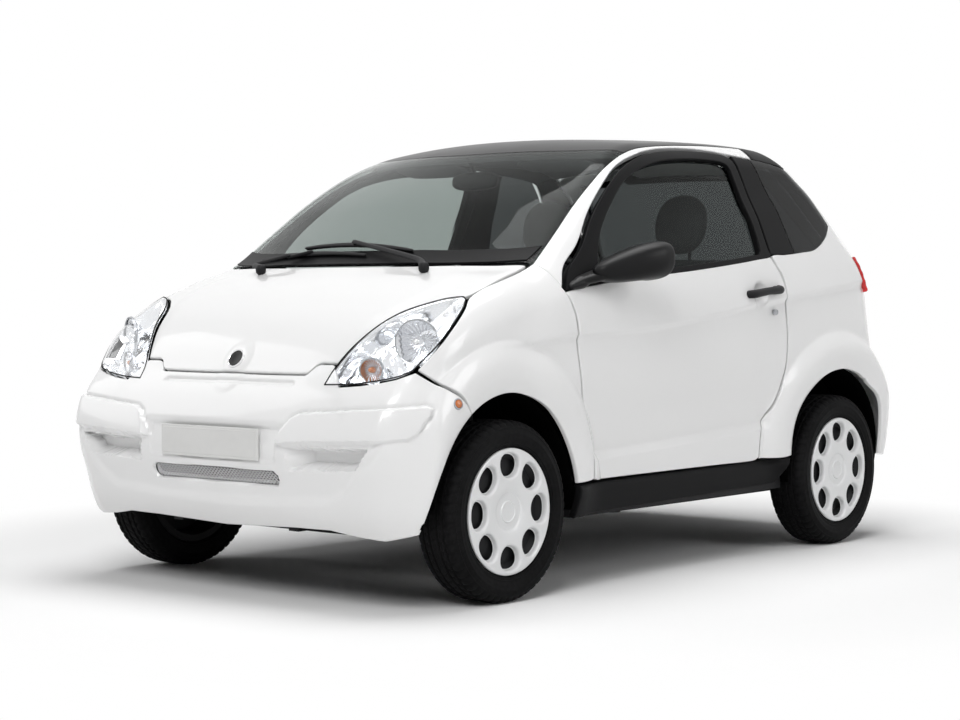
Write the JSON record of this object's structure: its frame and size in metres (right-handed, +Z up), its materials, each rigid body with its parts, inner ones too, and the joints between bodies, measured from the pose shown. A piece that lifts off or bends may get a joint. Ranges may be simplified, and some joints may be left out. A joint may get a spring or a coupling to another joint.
{
  "type": "microcar",
  "caption": "Light two-seat car with three doors: plastic panels on a floor frame, opening doors, bonnet and tailgate, and steered front wheels.",
  "frame": {"origin": "on the ground under the middle of the whole length and width", "axes": "+X to the car's left, +Y to the rear so the front faces -Y, +Z up"},
  "size_m": [1.8416, 2.7612, 1.413],
  "materials": {
    "white_panel": "white gel-coat gloss",
    "roof_black": "black gloss roof panel",
    "black_plastic": "grained black",
    "tinted_glass": "light green-grey tint",
    "lamp_clear": "clear lens over bright reflectors",
    "lamp_red": "red lens",
    "plate": "blank plate",
    "frame_steel": "black painted steel and alloy",
    "engine_metal": "cast",
    "seat_fabric": "dark woven cloth",
    "wheel_cover": "silver-white cover on a steel rim",
    "tyre_rubber": "ribbed road tread"
  },
  "bodies": {
    "root": {"chassis": "frame_steel", "front_bumper": "white_panel", "grille": "black_plastic", "number_plates": "plate", "wing_left": "white_panel", "wing_right": "white_panel", "headlights": "lamp_clear", "windscreen": "tinted_glass", "wipers": "black_plastic", "roof_panel": "roof_black", "roof_rail_left": "white_panel", "roof_rail_right": "white_panel", "quarter_panel_left": "white_panel", "quarter_panel_right": "white_panel", "quarter_glass": "tinted_glass", "b_pillars": "black_plastic", "tail_lights": "lamp_red", "rear_bumper": "white_panel", "sills": "black_plastic", "seats": "seat_fabric", "dashboard": "black_plastic", "steering_column": "black_plastic", "engine": "engine_metal", "front_axle": "frame_steel", "rear_axle": "frame_steel"},
    "bonnet": {"bonnet": "white_panel"},
    "door_left": {"door_left": "white_panel", "door_glass_left": "tinted_glass", "mirror_left": "black_plastic"},
    "door_right": {"door_right": "white_panel", "door_glass_right": "tinted_glass", "mirror_right": "black_plastic"},
    "tailgate": {"tailgate": "white_panel", "tailgate_glass": "tinted_glass"},
    "steering_wheel": {"steering_wheel": "black_plastic"},
    "knuckle_left": {"knuckle_left": "frame_steel"},
    "knuckle_right": {"knuckle_right": "frame_steel"},
    "wheel_front_left": {"wheel_front_left": "wheel_cover", "tyre_front_left": "tyre_rubber"},
    "wheel_front_right": {"wheel_front_right": "wheel_cover", "tyre_front_right": "tyre_rubber"},
    "wheel_rear_left": {"wheel_rear_left": "wheel_cover", "tyre_rear_left": "tyre_rubber"},
    "wheel_rear_right": {"wheel_rear_right": "wheel_cover", "tyre_rear_right": "tyre_rubber"}
  },
  "joints": [
    {"name": "bonnet_hinge", "type": "hinge", "parent": "root", "child": "bonnet", "pos_m": [0, -0.6876, 0.972], "axis": [-1, 0, 0], "range_deg": [0, 50]},
    {"name": "door_left_hinge", "type": "hinge", "parent": "root", "child": "door_left", "pos_m": [0.738, -0.6276, 0.6], "axis": [0, 0, -1], "range_deg": [0, 65]},
    {"name": "door_right_hinge", "type": "hinge", "parent": "root", "child": "door_right", "pos_m": [-0.738, -0.6276, 0.6], "axis": [0, 0, 1], "range_deg": [0, 65]},
    {"name": "tailgate_hinge", "type": "hinge", "parent": "root", "child": "tailgate", "pos_m": [0, 0.8624, 1.374], "axis": [1, 0, 0], "range_deg": [0, 75]},
    {"name": "steering_wheel_turn", "type": "hinge", "parent": "root", "child": "steering_wheel", "pos_m": [0.3, -0.1396, 0.87], "axis": [0, 0.8829, 0.4695], "range_deg": [-450, 450]},
    {"name": "knuckle_left_steer", "type": "hinge", "parent": "root", "child": "knuckle_left", "pos_m": [0.5625, -0.8846, 0.261], "axis": [0, 0, 1], "range_deg": [-31, 31]},
    {"name": "knuckle_right_steer", "type": "hinge", "parent": "root", "child": "knuckle_right", "pos_m": [-0.5625, -0.8846, 0.261], "axis": [0, 0, 1], "range_deg": [-31, 31]},
    {"name": "wheel_front_left_spin", "type": "hinge", "parent": "knuckle_left", "child": "wheel_front_left", "pos_m": [0.661, -0.8846, 0.261], "axis": [1, 0, 0], "continuous": true},
    {"name": "wheel_front_right_spin", "type": "hinge", "parent": "knuckle_right", "child": "wheel_front_right", "pos_m": [-0.661, -0.8846, 0.261], "axis": [1, 0, 0], "continuous": true},
    {"name": "wheel_rear_left_spin", "type": "hinge", "parent": "root", "child": "wheel_rear_left", "pos_m": [0.661, 0.9254, 0.261], "axis": [1, 0, 0], "continuous": true},
    {"name": "wheel_rear_right_spin", "type": "hinge", "parent": "root", "child": "wheel_rear_right", "pos_m": [-0.661, 0.9254, 0.261], "axis": [1, 0, 0], "continuous": true}
  ],
  "couplings": [
    {"joint": "knuckle_left_steer", "follows": "steering_wheel_turn", "ratio": 0.066667},
    {"joint": "knuckle_right_steer", "follows": "steering_wheel_turn", "ratio": 0.066667}
  ]
}
